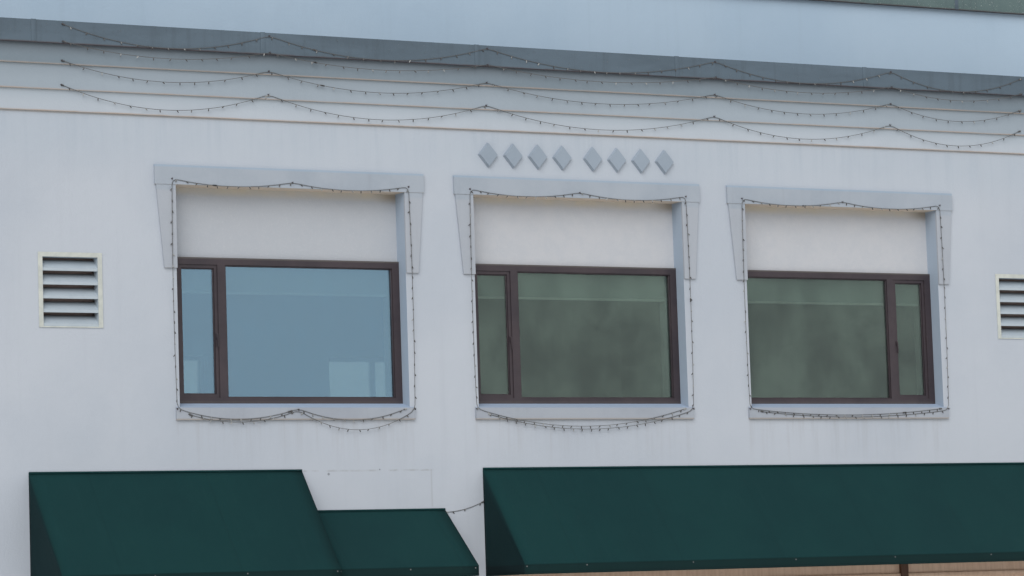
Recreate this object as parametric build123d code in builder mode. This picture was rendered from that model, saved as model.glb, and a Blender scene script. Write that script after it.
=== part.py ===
from build123d import *
import math
import os

# Town hall: a two-storey stuccoed front with a taller block set back behind its parapet.
# Millimetres. X runs along the front, Y into the building, Z up from the pavement.
# The origin is on the ground at the middle of the plan.

# Plan
building_width = 15240
building_depth = 12000
front_wall_thickness = 400
side_wall_thickness = 300
rear_wall_thickness = 300
set_back = 1500
set_back_wall_thickness = 300

# Levels
ground_floor_level = 150
upper_floor_level = 3300
upper_floor_thickness = 300
low_roof_top = 7300
main_roof_top = 8550
roof_thickness = 250
parapet_top = 7605
coping_height = 220
upper_wall_top = 8889
upper_coping_height = 220

# Cornice: three flat bands, each standing further out than the one below
band_projection = 25
lower_band_bottom = 6947
middle_band_bottom = 7157
upper_band_bottom = 7404
coping_projection = 110
coping_inner_overhang = 30
upper_coping_projection = 60

# Upper windows
window_spacing = 3339
opening_width = 2540
opening_top = 6262
sill_seat_level = 4000
frame_setback = 155
frame_depth = 90
frame_bottom = 4095
frame_top = 5560
frame_side = 80
frame_head = 72
frame_foot = 58
mullion_width = 85
casement_width = 425
sash_width = 34
sash_setback = 12
glass_thickness = 24
glass_setback = 34
infill_setback = 190
infill_thickness = 120

# Window surrounds and sills
lintel_width = 2985
lintel_height = 194
lintel_projection = 30
jamb_projection = 24
jamb_bottom = 5430
jamb_width_top = 208
jamb_width_bottom = 137
sill_projection = 30
sill_bottom = 3920
sill_front_top = 4042
sill_wall_top = 4050
sill_horn = 46

# Roller blinds, drawn down a little behind the glass
blind_bottom = 5205
blind_thickness = 8
blind_case_size = 56
blind_side_gap = 90

# Air louvres
louvre_width = 662
louvre_centre = 5732
louvre_bottom = 4824
louvre_top = 5560
louvre_border = 45
louvre_foot = 11
louvre_depth = 150
louvre_projection = 10
blade_count = 5
blade_run = 110
blade_rise = 92
blade_thickness = 12
blade_lip = 26

# Raised ornament over the middle window: two rows of four lozenges
lozenge_height = 270
lozenge_width = 232
lozenge_pitch = 296
lozenge_group_gap = 140
lozenge_level = 6686
lozenge_projection = 38
lozenge_bevel_angle = 15
lozenges_per_group = 4

# Awnings
awning_top = 3412
awning_projection = 846
awning_bar_level = 2408
awning_hem = 2302
low_awning_top = 3000
low_awning_projection = 705
fabric_thickness = 10
awning_outer_end = 6198
right_awning_inner_end = -1249
left_awning_step = -3304
left_awning_inner_end = -1701
tube = 30
rafter_bays = 6
step_rafter_bays = 2
fabric_clearance = 0.3

# Ground-floor openings
stall_height = 600
shop_top = 2700
shop_header_bottom = 2140
shop_margin = 148
shop_setback = 150
shop_frame_depth = 100
shop_post = 60
shop_post_spacing = 1300
divider_centre = 4065
divider_width = 95
divider_projection = 40
entrance_left = -3150
entrance_right = -1850
entrance_top = 2450
door_gap = 4
hinge_gap = 0.3
door_stile = 110
door_bottom_rail = 220
door_thickness = 60
door_glass_setback = 20
handle_length = 420
handle_diameter = 28
handle_standoff = 60
handle_post_diameter = 18
handle_post_spacing = 280

# Rear openings
rear_window_width = 1500
rear_ground_window_bottom = 1100
rear_ground_window_top = 2300
rear_door_width = 1000
rear_door_top = 2250
rear_frame_width = 60
rear_frame_depth = 90
rear_frame_setback = 80

# Strings of small lamps on the front
string_diameter = 10
string_clearance = 0.3
string_step = 135
least_swag_runs = 4
arc_share = 0.45
string_hooks = [-5805, -3590, -1100, 1700, 4010, 5805]
string_levels = {"low": 7202, "middle": 7438, "eaves": 7622, "top": 7793}
string_sags = {"low": 205, "middle": 165, "eaves": 118, "top": 185}
garland_half_width = 1312
garland_level = 6318
garland_sag = 62
garland_foot = 4030
garland_bow = 14
garland_start_gap = 100
garland_strand_gap = 16
# Each window's swags under its sill, from the right: the sags of the upper and the lower strand
sill_swags = {"left": ((116, 200), (105, 120)), "centre": ((185, 200),), "right": ((70, 75),)}
link_low = 2968
link_high = 3072
link_sag = 24
link_gap = 1.9
link_steps = 5

half_width = building_width / 2
inner_half_width = half_width - side_wall_thickness
facade = Plane.XZ.offset(building_depth / 2)
front_face = -building_depth / 2
front_inner = front_face + front_wall_thickness
rear_face = building_depth / 2
rear_inner = rear_face - rear_wall_thickness
set_back_face = front_face + set_back
set_back_inner = set_back_face + set_back_wall_thickness
half_opening = opening_width / 2
windows = {"left": -window_spacing, "centre": 0, "right": window_spacing}

os.makedirs("parts", exist_ok=True)


def save(part, name):
    part.label = name
    export_step(part, f"parts/{name}.step")


def patch(x_low, x_high, y_low, y_high, mode=Mode.ADD):
    """A rectangle between two corners, added to the sketch being drawn."""
    with Locations(((x_low + x_high) / 2, (y_low + y_high) / 2)):
        Rectangle(x_high - x_low, y_high - y_low, mode=mode)


def block(name, x_span, y_span, z_span):
    """A plain slab or wall between its faces."""
    with BuildPart() as piece:
        with BuildSketch(Plane.XY.offset(z_span[0])):
            patch(x_span[0], x_span[1], y_span[0], y_span[1])
        extrude(amount=z_span[1] - z_span[0])
    save(piece.part, name)


# Ground-floor bays, from the awnings that cover them
right_bay = (right_awning_inner_end + shop_margin, awning_outer_end - shop_margin)
left_bay = (-awning_outer_end + shop_margin, left_awning_step - shop_margin)
entrance_bay = (entrance_left, entrance_right)


# Slabs and roofs
block("ground_slab", (-inner_half_width, inner_half_width), (front_inner, rear_inner),
      (0, ground_floor_level))
block("upper_floor", (-inner_half_width, inner_half_width), (front_inner, rear_inner),
      (upper_floor_level - upper_floor_thickness, upper_floor_level))
block("front_roof", (-inner_half_width, inner_half_width), (front_inner, set_back_face),
      (low_roof_top - roof_thickness, low_roof_top))
block("main_roof", (-inner_half_width, inner_half_width), (set_back_inner, rear_inner),
      (main_roof_top - roof_thickness, main_roof_top))
block("set_back_wall", (-inner_half_width, inner_half_width), (set_back_face, set_back_inner),
      (low_roof_top - roof_thickness, upper_wall_top))

# Front wall, ground floor: shop windows each side of the entrance
with BuildPart() as front_wall_lower:
    with BuildSketch(facade):
        patch(-half_width, half_width, 0, upper_floor_level)
        patch(*right_bay, stall_height, shop_top, mode=Mode.SUBTRACT)
        patch(*left_bay, stall_height, shop_top, mode=Mode.SUBTRACT)
        patch(*entrance_bay, ground_floor_level, entrance_top, mode=Mode.SUBTRACT)
    extrude(amount=-front_wall_thickness)
save(front_wall_lower.part, "front_wall_lower")

# Front wall, upper floor: three tall window openings and two louvre openings
with BuildPart() as front_wall_upper:
    with BuildSketch(facade):
        patch(-half_width, half_width, upper_floor_level, parapet_top)
        for centre in windows.values():
            patch(centre - half_opening, centre + half_opening, sill_seat_level, opening_top,
                  mode=Mode.SUBTRACT)
        for side in (-1, 1):
            patch(side * louvre_centre - louvre_width / 2, side * louvre_centre + louvre_width / 2,
                  louvre_bottom, louvre_top, mode=Mode.SUBTRACT)
    extrude(amount=-front_wall_thickness)
save(front_wall_upper.part, "front_wall_upper")

# Party walls, low behind the front parapet and tall beside the main block
side_profile = [(front_inner, 0), (rear_inner, 0), (rear_inner, upper_wall_top),
                (set_back_face, upper_wall_top), (set_back_face, parapet_top), (front_inner, parapet_top)]
for name, start in (("left_wall", -half_width), ("right_wall", inner_half_width)):
    with BuildPart() as side_wall:
        with BuildSketch(Plane.YZ.offset(start)):
            with BuildLine():
                Polyline(*side_profile, close=True)
            make_face()
        extrude(amount=side_wall_thickness)
    save(side_wall.part, name)

# Rear wall, with plain windows on the same centres and a service door
rear_openings = [(centre, rear_window_width, frame_bottom, frame_top) for centre in windows.values()]
rear_openings += [(side * window_spacing, rear_window_width, rear_ground_window_bottom, rear_ground_window_top)
                  for side in (-1, 1)]
with BuildPart() as rear_wall:
    with BuildSketch(Plane.XZ.offset(-rear_inner)):
        patch(-half_width, half_width, 0, upper_wall_top)
        for centre, width, low, high in rear_openings:
            patch(centre - width / 2, centre + width / 2, low, high, mode=Mode.SUBTRACT)
        patch(-rear_door_width / 2, rear_door_width / 2, ground_floor_level, rear_door_top, mode=Mode.SUBTRACT)
    extrude(amount=-rear_wall_thickness)
save(rear_wall.part, "rear_wall")

# Cornice bands
band_levels = [lower_band_bottom, middle_band_bottom, upper_band_bottom, parapet_top]
for step, name in enumerate(("cornice_band_lower", "cornice_band_middle", "cornice_band_upper")):
    with BuildPart() as band:
        with BuildSketch(facade):
            patch(-half_width, half_width, band_levels[step], band_levels[step + 1])
        extrude(amount=(step + 1) * band_projection)
    save(band.part, name)

# Copings: one round the front parapet and its short returns, one round the tall block
with BuildPart() as front_coping:
    with BuildSketch(Plane.XY.offset(parapet_top)):
        patch(-half_width, half_width, front_face - coping_projection, set_back_face)
        patch(-inner_half_width + coping_inner_overhang, inner_half_width - coping_inner_overhang,
              front_inner + coping_inner_overhang, set_back_face, mode=Mode.SUBTRACT)
    extrude(amount=coping_height)
save(front_coping.part, "front_coping")

with BuildPart() as upper_coping:
    with BuildSketch(Plane.XY.offset(upper_wall_top)):
        patch(-half_width, half_width, set_back_face - upper_coping_projection,
              rear_face + upper_coping_projection)
        patch(-inner_half_width + coping_inner_overhang, inner_half_width - coping_inner_overhang,
              set_back_inner + coping_inner_overhang, rear_inner - coping_inner_overhang, mode=Mode.SUBTRACT)
    extrude(amount=upper_coping_height)
save(upper_coping.part, "upper_coping")


# Surround of one upper window: a flat lintel over two battered jamb pieces
def window_surround(name, centre):
    with BuildPart() as surround:
        with BuildSketch(facade):
            patch(centre - lintel_width / 2, centre + lintel_width / 2, opening_top,
                  opening_top + lintel_height)
        extrude(amount=lintel_projection)
        with BuildSketch(facade):
            for side in (-1, 1):
                inner = centre + side * half_opening
                with BuildLine():
                    Polyline((inner, opening_top), (inner + side * jamb_width_top, opening_top),
                             (inner + side * jamb_width_bottom, jamb_bottom), (inner, jamb_bottom), close=True)
                make_face()
        extrude(amount=jamb_projection)
    save(surround.part, name)


# Sill: a sloped seat inside the opening and a nosing with horns on the wall face
def window_sill(name, centre):
    with BuildPart() as sill:
        with BuildSketch(Plane.YZ.offset(centre - half_opening)):
            with BuildLine():
                Polyline((front_face, sill_seat_level), (front_inner, sill_seat_level),
                         (front_inner, frame_bottom), (front_face + frame_setback, frame_bottom), (front_face, sill_wall_top), close=True)
            make_face()
        extrude(amount=opening_width)
        with BuildSketch(Plane.YZ.offset(centre - half_opening - sill_horn)):
            with BuildLine():
                Polyline((front_face, sill_bottom), (front_face, sill_wall_top),
                         (front_face - sill_projection, sill_front_top),
                         (front_face - sill_projection, sill_bottom), close=True)
            make_face()
        extrude(amount=opening_width + 2 * sill_horn)
    save(sill.part, name)


# Casement and fixed pane of one window: hand is -1 where the casement is on the left, 1 on the right
def pane_spans(hand):
    edge = half_opening - frame_side
    casement = sorted((hand * edge, hand * (edge - casement_width)))
    fixed = sorted((hand * (edge - casement_width - mullion_width), -hand * edge))
    return casement, fixed


def window_frame(name, centre, hand):
    casement, fixed = pane_spans(hand)
    low, high = frame_bottom + frame_foot, frame_top - frame_head
    with BuildPart() as frame:
        with BuildSketch(facade.offset(-frame_setback)):
            patch(centre - half_opening, centre + half_opening, frame_bottom, frame_top)
            patch(centre + casement[0], centre + casement[1], low, high, mode=Mode.SUBTRACT)
            patch(centre + fixed[0], centre + fixed[1], low, high, mode=Mode.SUBTRACT)
        extrude(amount=-frame_depth)
        with BuildSketch(facade.offset(-frame_setback - sash_setback)):
            patch(centre + casement[0], centre + casement[1], low, high)
            patch(centre + casement[0] + sash_width, centre + casement[1] - sash_width,
                  low + sash_width, high - sash_width, mode=Mode.SUBTRACT)
        extrude(amount=sash_setback - frame_depth)
    save(frame.part, name)


def window_glass(name, centre, hand):
    casement, fixed = pane_spans(hand)
    low, high = frame_bottom + frame_foot, frame_top - frame_head
    with BuildPart() as glass:
        with BuildSketch(facade.offset(-frame_setback - glass_setback)):
            patch(centre + casement[0] + sash_width, centre + casement[1] - sash_width,
                  low + sash_width, high - sash_width)
            patch(centre + fixed[0], centre + fixed[1], low, high)
        extrude(amount=-glass_thickness)
    save(glass.part, name)


def infill_panel(name, centre):
    with BuildPart() as panel:
        with BuildSketch(facade.offset(-infill_setback)):
            patch(centre - half_opening, centre + half_opening, frame_top, opening_top)
        extrude(amount=-infill_thickness)
    save(panel.part, name)


casement_hand = {"left": -1, "centre": -1, "right": 1}
for place, centre in windows.items():
    window_surround(f"window_surround_{place}", centre)
    window_sill(f"window_sill_{place}", centre)
    window_frame(f"window_frame_{place}", centre, casement_hand[place])
    window_glass(f"window_glass_{place}", centre, casement_hand[place])
    infill_panel(f"infill_panel_{place}", centre)

# Roller blinds: a case fixed behind each frame's head with the blind hanging from it
blind_back = front_face + frame_setback + frame_depth
blind_line = blind_back + blind_case_size / 2
with BuildPart() as window_blinds:
    for centre in windows.values():
        start = centre - half_opening + blind_side_gap
        with BuildSketch(Plane.YZ.offset(start)):
            patch(blind_back, blind_back + blind_case_size, frame_top - blind_case_size, frame_top)
            patch(blind_line, blind_line + blind_thickness, blind_bottom, frame_top - blind_case_size)
        extrude(amount=opening_width - 2 * blind_side_gap)
save(window_blinds.part, "window_blinds")


# Louvre: a bordered box with sloping blades that end in a small lip
def louvre(name, centre):
    inner_half = louvre_width / 2 - louvre_border
    opening_low, opening_high = louvre_bottom + louvre_foot, louvre_top - louvre_border
    pitch = (opening_high - opening_low) / blade_count
    with BuildPart() as vent:
        with BuildSketch(facade.offset(louvre_projection)):
            patch(centre - louvre_width / 2, centre + louvre_width / 2, louvre_bottom, louvre_top)
            patch(centre - inner_half, centre + inner_half, opening_low, opening_high, mode=Mode.SUBTRACT)
        extrude(amount=-louvre_depth)
        for blade in range(blade_count):
            lip = opening_low + blade * pitch
            with BuildSketch(Plane.YZ.offset(centre - inner_half)):
                with BuildLine():
                    Polyline((front_face, lip), (front_face, lip + blade_lip),
                             (front_face + blade_run, lip + blade_lip + blade_rise),
                             (front_face + blade_run, lip + blade_lip + blade_rise - blade_thickness),
                             (front_face + blade_thickness, lip + blade_thickness),
                             (front_face + blade_thickness, lip), close=True)
                make_face()
            extrude(amount=2 * inner_half)
    save(vent.part, name)


louvre("louvre_left", -louvre_centre)
louvre("louvre_right", louvre_centre)

# Raised ornament: plain bevelled lozenges in two groups
group_half = lozenge_group_gap / 2 + lozenge_width / 2
lozenge_centres = [side * (group_half + place * lozenge_pitch) for side in (-1, 1)
                   for place in range(lozenges_per_group)]
with BuildPart() as frieze_ornament:
    with BuildSketch(facade):
        for x in lozenge_centres:
            with BuildLine():
                Polyline((x - lozenge_width / 2, lozenge_level), (x, lozenge_level + lozenge_height / 2),
                         (x + lozenge_width / 2, lozenge_level), (x, lozenge_level - lozenge_height / 2),
                         close=True)
            make_face()
    extrude(amount=lozenge_projection, taper=lozenge_bevel_angle)
save(frieze_ornament.part, "frieze_ornament")


# Awning fabric: sloped roof, straight valance and closed ends, all one skin
def slope_point(top, projection, out, below=0):
    """Height of the fabric's top at a distance out from the wall, less a depth square to the slope."""
    fall = (top - awning_bar_level) / projection
    return top - out * fall - below * math.hypot(1, fall)


def canopy_fabric(name, x_low, x_high, top, projection, end_starts):
    inner = projection - fabric_thickness
    with BuildPart() as fabric:
        with BuildSketch(Plane.YZ.offset(x_low)):
            with BuildLine():
                Polyline((front_face, top), (front_face - projection, awning_bar_level),
                         (front_face - projection, awning_hem), (front_face - inner, awning_hem),
                         (front_face - inner, slope_point(top, projection, inner, fabric_thickness)),
                         (front_face, slope_point(top, projection, 0, fabric_thickness)), close=True)
            make_face()
        extrude(amount=x_high - x_low)
        for start in end_starts:
            with BuildSketch(Plane.YZ.offset(start)):
                with BuildLine():
                    Polyline((front_face, top), (front_face - projection, awning_bar_level),
                             (front_face - projection, awning_hem), (front_face, awning_hem), close=True)
                make_face()
            extrude(amount=fabric_thickness)
    save(fabric.part, name)


# Awning frame: wall rail, front bar, rafters and struts of square tube under the fabric
def canopy_frame(name, x_low, x_high, top, projection, bays):
    below = fabric_thickness + fabric_clearance
    bar_back = projection - below - tube
    bar_top = slope_point(top, projection, projection - below, below)
    rail_top = slope_point(top, projection, tube, below)
    rafter = [(tube, below), (bar_back, below), (bar_back, below + tube), (tube, below + tube)]
    with BuildPart() as frame:
        with BuildSketch(Plane.YZ.offset(x_low)):
            patch(front_face - tube, front_face, rail_top - tube, rail_top)
            patch(front_face - bar_back - tube, front_face - bar_back, bar_top - tube, bar_top)
        extrude(amount=x_high - x_low)
        for bay in range(bays + 1):
            with BuildSketch(Plane.YZ.offset(x_low + bay * (x_high - x_low - tube) / bays)):
                with BuildLine():
                    Polyline(*[(front_face - out, slope_point(top, projection, out, deep))
                               for out, deep in rafter], close=True)
                make_face()
                patch(front_face - bar_back, front_face, bar_top - tube, bar_top)
            extrude(amount=tube)
    save(frame.part, name)


far_end_start = awning_outer_end - fabric_thickness
canopy_fabric("awning_fabric_right", right_awning_inner_end, awning_outer_end, awning_top, awning_projection,
              (right_awning_inner_end, far_end_start))
canopy_fabric("awning_fabric_left", -awning_outer_end, left_awning_step, awning_top, awning_projection,
              (-awning_outer_end, left_awning_step - fabric_thickness))
canopy_fabric("awning_fabric_entrance", left_awning_step, left_awning_inner_end, low_awning_top,
              low_awning_projection, (left_awning_inner_end - fabric_thickness,))

inset = fabric_thickness + fabric_clearance
canopy_frame("awning_frame_right", right_awning_inner_end + inset, awning_outer_end - inset, awning_top,
             awning_projection, rafter_bays)
canopy_frame("awning_frame_left", -awning_outer_end + inset, left_awning_step - inset, awning_top,
             awning_projection, step_rafter_bays)
canopy_frame("awning_frame_entrance", left_awning_step + fabric_clearance, left_awning_inner_end - inset,
             low_awning_top, low_awning_projection, step_rafter_bays)


# Shop windows: posts and rails with a flush header panel over the glass
def shop_posts(bay):
    """Clear spans between the posts of a bay, post centres counted from its left side."""
    spans = []
    start = bay[0] + shop_post
    while bay[1] - shop_post - start > shop_post_spacing:
        spans.append((start, start + shop_post_spacing - shop_post))
        start += shop_post_spacing
    spans.append((start, bay[1] - shop_post))
    return spans


def shop_frame(name, bay):
    with BuildPart() as frame:
        with BuildSketch(facade.offset(-shop_setback)):
            patch(*bay, stall_height, shop_top)
            for low, high in shop_posts(bay):
                patch(low, high, stall_height + shop_post, shop_header_bottom, mode=Mode.SUBTRACT)
        extrude(amount=-shop_frame_depth)
    save(frame.part, name)


def shop_glass(name, bay):
    with BuildPart() as glass:
        with BuildSketch(facade.offset(-shop_setback - glass_setback)):
            for low, high in shop_posts(bay):
                patch(low, high, stall_height + shop_post, shop_header_bottom)
        extrude(amount=-glass_thickness)
    save(glass.part, name)


shop_frame("shop_frame_left", left_bay)
shop_glass("shop_glass_left", left_bay)
shop_frame("shop_frame_right", right_bay)
shop_glass("shop_glass_right", right_bay)

# Brown post that divides the right-hand shop front, on the face of its frame
with BuildPart() as divider_post:
    with BuildSketch(facade.offset(-shop_setback)):
        patch(divider_centre - divider_width / 2, divider_centre + divider_width / 2, stall_height, shop_top)
    extrude(amount=divider_projection)
save(divider_post.part, "divider_post")

# Entrance: a pair of glazed leaves in a frame with a transom light over them
door_head = shop_header_bottom
leaf = (entrance_left + shop_post, entrance_right - shop_post)
with BuildPart() as entrance_frame:
    with BuildSketch(facade.offset(-shop_setback)):
        patch(*entrance_bay, ground_floor_level, entrance_top)
        patch(*leaf, ground_floor_level, door_head, mode=Mode.SUBTRACT)
        patch(*leaf, door_head + shop_post, entrance_top - shop_post, mode=Mode.SUBTRACT)
    extrude(amount=-shop_frame_depth)
save(entrance_frame.part, "entrance_frame")

leaf_middle = (leaf[0] + leaf[1]) / 2
leaf_rim = [(leaf[0] + hinge_gap, leaf_middle - door_gap / 2),
            (leaf_middle + door_gap / 2, leaf[1] - hinge_gap)]
door_low, door_high = ground_floor_level + door_gap, door_head - door_gap
with BuildPart() as entrance_doors:
    with BuildSketch(facade.offset(-shop_setback)):
        for low, high in leaf_rim:
            patch(low, high, door_low, door_high)
            patch(low + door_stile, high - door_stile, door_low + door_bottom_rail, door_high - door_stile,
                  mode=Mode.SUBTRACT)
    extrude(amount=-door_thickness)
    handle_level = (door_low + door_high) / 2
    for x in (leaf_middle - door_stile / 2, leaf_middle + door_stile / 2):
        with BuildSketch(facade.offset(-shop_setback)):
            for z in (handle_level - handle_post_spacing / 2, handle_level + handle_post_spacing / 2):
                with Locations((x, z)):
                    Circle(handle_post_diameter / 2)
        extrude(amount=handle_standoff)
        with BuildSketch(Plane.XY.offset(handle_level - handle_length / 2)):
            with Locations((x, front_face + shop_setback - handle_standoff)):
                Circle(handle_diameter / 2)
        extrude(amount=handle_length)
save(entrance_doors.part, "entrance_doors")

with BuildPart() as entrance_glass:
    with BuildSketch(facade.offset(-shop_setback - door_glass_setback)):
        for low, high in leaf_rim:
            patch(low + door_stile, high - door_stile, door_low + door_bottom_rail, door_high - door_stile)
    extrude(amount=-glass_thickness)
    with BuildSketch(facade.offset(-shop_setback - glass_setback)):
        patch(*leaf, door_head + shop_post, entrance_top - shop_post)
    extrude(amount=-glass_thickness)
save(entrance_glass.part, "entrance_glass")

# Rear windows and service door
rear_plane = Plane.XZ.offset(-(rear_face - rear_frame_setback))
with BuildPart() as rear_window_frames:
    with BuildSketch(rear_plane):
        for centre, width, low, high in rear_openings:
            patch(centre - width / 2, centre + width / 2, low, high)
            inner = width / 2 - rear_frame_width
            for left, right in ((-inner, -rear_frame_width / 2), (rear_frame_width / 2, inner)):
                patch(centre + left, centre + right, low + rear_frame_width, high - rear_frame_width,
                      mode=Mode.SUBTRACT)
    extrude(amount=rear_frame_depth)
save(rear_window_frames.part, "rear_window_frames")

with BuildPart() as rear_window_glass:
    with BuildSketch(rear_plane.offset(glass_setback)):
        for centre, width, low, high in rear_openings:
            inner = width / 2 - rear_frame_width
            for left, right in ((-inner, -rear_frame_width / 2), (rear_frame_width / 2, inner)):
                patch(centre + left, centre + right, low + rear_frame_width, high - rear_frame_width)
    extrude(amount=glass_thickness)
save(rear_window_glass.part, "rear_window_glass")

with BuildPart() as rear_door:
    with BuildSketch(rear_plane):
        patch(-rear_door_width / 2, rear_door_width / 2, ground_floor_level, rear_door_top)
    extrude(amount=rear_frame_depth)
save(rear_door.part, "rear_door")


# Lamp strings: slim tubes hung in swags from hook to hook, just clear of the face behind them
def swag(start, end, level, sag):
    """Points of a parabola between two hooks at one level, without the last hook."""
    steps = max(least_swag_runs, round(abs(end - start) / string_step))
    return [(start + (end - start) * n / steps, level - 4 * sag * (n / steps) * (1 - n / steps))
            for n in range(steps)]


def string_tube(name, route, projection):
    """A tube along straight runs joined by the largest tangent arcs, standing off the facade."""
    face = front_face - projection - string_clearance - string_diameter / 2
    points = [Vector(x, face, z) for x, z in route]
    radii = []
    for before, here, after in zip(points, points[1:], points[2:]):
        run = min((here - before).length, (after - here).length)
        turn = math.radians((here - before).get_angle(after - here))
        radii.append(arc_share * run / math.tan(turn / 2))
    with BuildPart() as tube_part:
        with BuildLine() as path:
            FilletPolyline(*points, radius=radii)
        with BuildSketch(path.line ^ 0):
            Circle(string_diameter / 2)
        sweep()
    length = sum(edge.length for edge in path.edges())
    print(name, "length", round(length), "volume ratio",
          round(tube_part.part.volume / (length * math.pi * string_diameter ** 2 / 4), 4),
          "least radius", round(min(radii)), "points", len(points))
    save(tube_part.part, name)


string_faces = {"low": 2 * band_projection, "middle": 3 * band_projection, "eaves": coping_projection,
                "top": coping_projection}
for row, level in string_levels.items():
    route = []
    for start, end in zip(string_hooks, string_hooks[1:]):
        route += swag(start, end, level, string_sags[row])
    route.append((string_hooks[-1], level))
    string_tube(f"lamp_string_{row}", route, string_faces[row])


def strand(ends, level, sags):
    """Swags one after another between hooks at one level."""
    points = []
    for start, end, sag in zip(ends, ends[1:], sags):
        points += swag(start, end, level, sag)
    return points


# Garland of one window: along under the sill, up the left jamb, two swags along the head, down the right jamb,
# and back under the sill a little lower
def garland_route(centre, sags):
    left, right = centre - garland_half_width, centre + garland_half_width
    hooks = [right + (left - right) * n / len(sags) for n in range(len(sags) + 1)]
    jamb_steps = round((garland_level - garland_foot) / string_step)
    rise = (garland_level - garland_foot) / jamb_steps
    bows = [4 * garland_bow * (n / jamb_steps) * (1 - n / jamb_steps) for n in range(jamb_steps)]
    route = strand([right - garland_start_gap] + hooks[1:], garland_foot, [upper for upper, lower in sags])
    route += [(left - bow, garland_foot + n * rise) for n, bow in enumerate(bows)]
    route += swag(left, centre, garland_level, garland_sag) + swag(centre, right, garland_level, garland_sag)
    route += [(right + bow, garland_level - n * rise) for n, bow in enumerate(bows)]
    return route + strand(hooks, garland_foot - garland_strand_gap, [lower for upper, lower in sags])


for place, centre in windows.items():
    string_tube(f"window_garland_{place}", garland_route(centre, sill_swags[place]), lintel_projection)

# Short string that joins the two awnings across the pier, sagging from its lower end
link_start, link_end = left_awning_inner_end + link_gap, right_awning_inner_end - link_gap
link_route = [(link_start + (link_end - link_start) * n / link_steps,
               link_low + (link_high - link_low) * n / link_steps
               - 4 * link_sag * (n / link_steps) * (1 - n / link_steps)) for n in range(link_steps + 1)]
string_tube("lamp_string_link", link_route, 0)
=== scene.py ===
import math
import random

import bmesh
import bpy
from mathutils import Matrix, Vector


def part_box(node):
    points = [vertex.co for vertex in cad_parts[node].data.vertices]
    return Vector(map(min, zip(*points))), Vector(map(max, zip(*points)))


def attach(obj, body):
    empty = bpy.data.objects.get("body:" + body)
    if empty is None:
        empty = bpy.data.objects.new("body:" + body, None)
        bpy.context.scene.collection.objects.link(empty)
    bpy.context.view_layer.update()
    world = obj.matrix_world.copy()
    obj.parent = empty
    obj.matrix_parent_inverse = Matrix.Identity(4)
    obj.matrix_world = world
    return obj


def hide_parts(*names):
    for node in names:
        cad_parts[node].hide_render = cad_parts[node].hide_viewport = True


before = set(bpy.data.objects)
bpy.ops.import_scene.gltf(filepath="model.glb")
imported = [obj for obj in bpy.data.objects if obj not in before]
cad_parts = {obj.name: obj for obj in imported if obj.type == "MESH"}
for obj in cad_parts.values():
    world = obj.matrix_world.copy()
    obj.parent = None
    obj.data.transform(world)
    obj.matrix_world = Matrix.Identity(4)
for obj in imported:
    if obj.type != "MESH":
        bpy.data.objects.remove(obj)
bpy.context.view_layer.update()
body = "root"
bpy.ops.object.select_all(action="DESELECT")
wallFace = -6.0
windowCentres = {"left": -3.339, "centre": 0.0, "right": 3.339}
print("frame loaded", len(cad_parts), "nodes")

# Camera: solved from the edges of the front
camera = {"place": (-17.543, -36.650, 1.9457), "lens": 118.09, "yaw": 0.49912, "pitch": 0.09563, "roll": -0.03277}


def makeCamera():
    yaw, pitch, roll = camera["yaw"], camera["pitch"], camera["roll"]
    ahead = Vector((math.sin(yaw) * math.cos(pitch), math.cos(yaw) * math.cos(pitch), math.sin(pitch)))
    right = Vector((math.cos(yaw), -math.sin(yaw), 0))
    up = right.cross(ahead)
    tiltedRight = math.cos(roll) * right + math.sin(roll) * up
    tiltedUp = -math.sin(roll) * right + math.cos(roll) * up
    turn = Matrix((tiltedRight, tiltedUp, -ahead)).transposed()
    data = bpy.data.cameras.new("camera")
    data.lens = camera["lens"]
    data.sensor_width = 36
    data.clip_end = 400
    made = bpy.data.objects.new("camera", data)
    made.matrix_world = Matrix.Translation(camera["place"]) @ turn.to_4x4()
    bpy.context.collection.objects.link(made)
    bpy.context.scene.camera = made


makeCamera()
print("camera placed")

# Strings of small lamps: the same routes as the model's tubes, in metres
strings = {"diameter": 0.006, "tube": 0.010, "clearance": 0.0003, "step": 0.135, "leastRuns": 4,
           "hooks": [-5.805, -3.590, -1.100, 1.700, 4.010, 5.805],
           "rows": {"low": (7.202, 0.205, 0.050), "middle": (7.438, 0.165, 0.075),
                    "eaves": (7.622, 0.118, 0.110), "top": (7.793, 0.185, 0.110)},
           "rowLengths": {"low": 11.832, "middle": 11.755, "eaves": 11.685, "top": 11.791}}
garlands = {"halfWidth": 1.312, "level": 6.318, "sag": 0.062, "foot": 4.030, "bow": 0.014, "startGap": 0.100,
            "strandGap": 0.016, "out": 0.030, "lengths": {"left": 12.291, "centre": 12.213, "right": 12.144},
            "sillSags": {"left": ((0.116, 0.200), (0.105, 0.120)), "centre": ((0.185, 0.200),),
                         "right": ((0.070, 0.075),)}}
link = {"ends": (-1.6991, -1.2509), "levels": (2.968, 3.072), "sag": 0.024, "steps": 5, "length": 0.463}


def swag(start, end, level, sag):
    runs = max(strings["leastRuns"], round(abs(end - start) / strings["step"]))
    return [(start + (end - start) * n / runs, level - 4 * sag * (n / runs) * (1 - n / runs)) for n in range(runs)]


def strand(ends, level, sags):
    points = []
    for start, end, sag in zip(ends, ends[1:], sags):
        points += swag(start, end, level, sag)
    return points


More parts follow.
